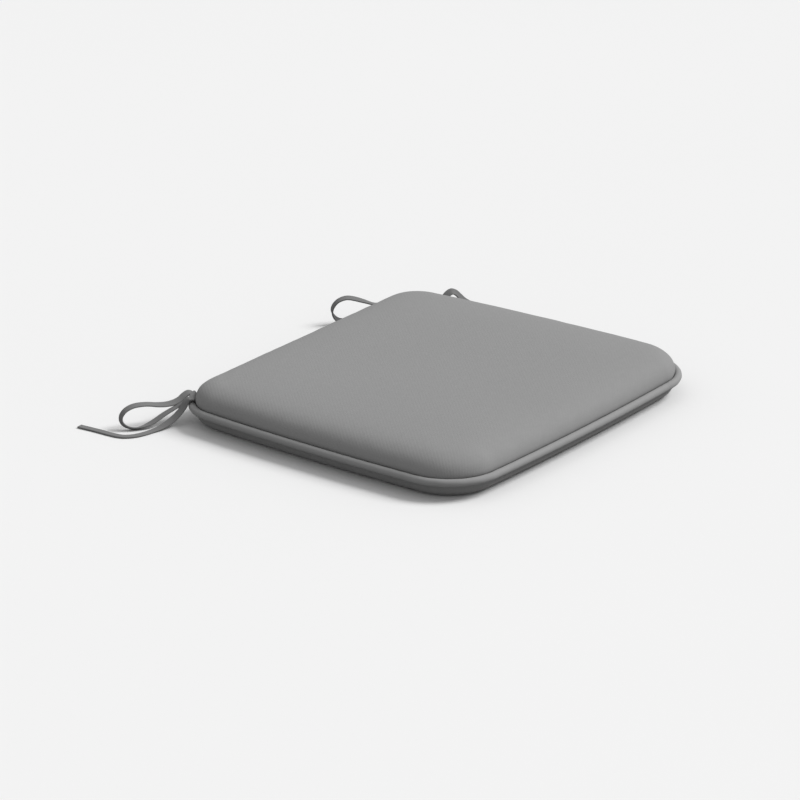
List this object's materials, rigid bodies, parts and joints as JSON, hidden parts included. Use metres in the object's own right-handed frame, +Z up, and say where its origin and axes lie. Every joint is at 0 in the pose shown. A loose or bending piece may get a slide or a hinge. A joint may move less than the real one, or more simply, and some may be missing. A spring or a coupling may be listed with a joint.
{
  "type": "chair seat pad",
  "caption": "Flat rounded-trapezoid chair seat pad: foam core in a piped fabric cover with a rear zip and fabric ties at the rear corners.",
  "frame": {"origin": "centre of the pad's footprint, on the flat face of the bottom panel", "axes": "+Z up through the crown, +X along the wide front edge, -Y towards the front, ties and zip at +Y"},
  "size_m": [0.5011, 0.4157, 0.047],
  "materials": {
    "cover_fabric": "mid grey fine ribbed weave",
    "piping_fabric": "mid grey bias-cut weave",
    "tie_fabric": "mid grey self-fabric strip",
    "foam": "open-cell foam",
    "wadding": "polyester fibre",
    "zip_tape": "dark grey woven tape",
    "zip_teeth": "dark grey nylon",
    "zip_metal": "dull gunmetal"
  },
  "bodies": {
    "pad": {"foam_core": "foam", "wadding_top": "wadding", "wadding_bottom": "wadding", "top_panel": "cover_fabric", "bottom_panel": "cover_fabric", "piping_cover": "piping_fabric", "piping_cord": "wadding", "tack_left": "tie_fabric", "tack_right": "tie_fabric", "tie_left_loop": "tie_fabric", "tie_left_tail": "tie_fabric", "tie_right_loop": "tie_fabric", "tie_right_tail": "tie_fabric", "zip_tape_upper": "zip_tape", "zip_tape_lower": "zip_tape", "zip_teeth_upper": "zip_teeth", "zip_teeth_lower": "zip_teeth", "zip_stop_left": "zip_teeth", "zip_stop_right": "zip_teeth"},
    "slider": {"zip_slider": "zip_metal"},
    "pull": {"zip_pull": "zip_metal"}
  },
  "joints": [
    {"name": "zip_run", "type": "slide", "parent": "pad", "child": "slider", "axis": [1, 0, 0], "range_m": [0, 0.221]},
    {"name": "pull_swing", "type": "hinge", "parent": "slider", "child": "pull", "pos_m": [-0.1105, 0.1696, 0.0092], "axis": [0, 0, 1], "range_deg": [0, 180]}
  ]
}
